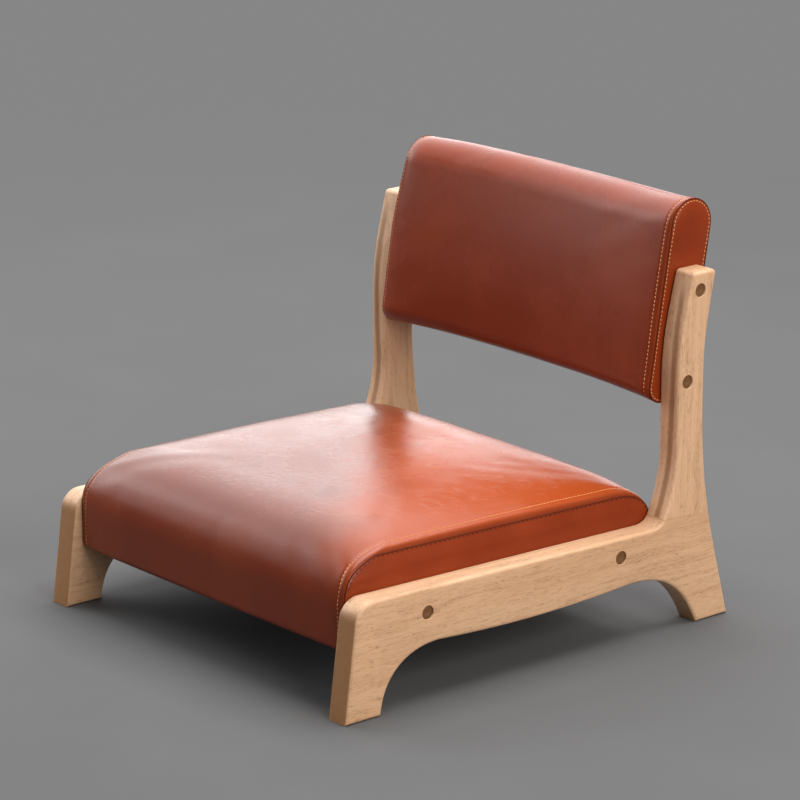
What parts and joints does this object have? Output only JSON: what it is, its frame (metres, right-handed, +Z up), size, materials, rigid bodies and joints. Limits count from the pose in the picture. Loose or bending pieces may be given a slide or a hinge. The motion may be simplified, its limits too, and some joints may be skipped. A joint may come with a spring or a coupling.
{
  "type": "legless chair",
  "caption": "Low legless chair: two wooden side frames with short feet and back posts carry a leather seat cushion and a curved leather backrest.",
  "frame": {"origin": "on the floor, at the middle of the chair's overall width and depth", "axes": "+X to the sitter's left, +Y to the rear, +Z up; the sitter faces -Y"},
  "size_m": [0.48, 0.5243, 0.4396],
  "materials": {
    "oak_rail": "satin clear finish on light oak, grain along the rail",
    "oak_post": "satin clear finish on light oak, grain up the post",
    "beech": "plain planed beech",
    "plywood": "sanded plywood",
    "leather": "semi-gloss cognac leather with a fine grain",
    "leather_side": "semi-gloss cognac leather with a fine grain",
    "foam": "cut upholstery foam",
    "dust_cloth": "matte spunbonded cloth",
    "bronze": "antique bronze coating, worn at the edges",
    "insert_brass": "plain turned brass"
  },
  "bodies": {
    "root": {"left_side_rail": "oak_rail", "right_side_rail": "oak_rail", "left_back_post": "oak_post", "right_back_post": "oak_post", "left_post_dowels": "beech", "right_post_dowels": "beech", "seat_batten_left": "beech", "seat_batten_right": "beech", "seat_batten_front": "beech", "seat_batten_rear": "beech", "seat_deck": "plywood", "seat_foam": "foam", "seat_cover": "leather", "seat_gusset_left": "leather_side", "seat_gusset_right": "leather_side", "seat_dust_cover": "dust_cloth", "back_panel": "plywood", "back_block_left": "beech", "back_block_right": "beech", "back_foam_front": "foam", "back_foam_rear": "foam", "back_cover": "leather", "back_gusset_left": "leather_side", "back_gusset_right": "leather_side", "seat_bolts": "bronze", "back_bolts": "bronze", "seat_inserts": "insert_brass", "back_inserts": "insert_brass"}
  },
  "joints": []
}
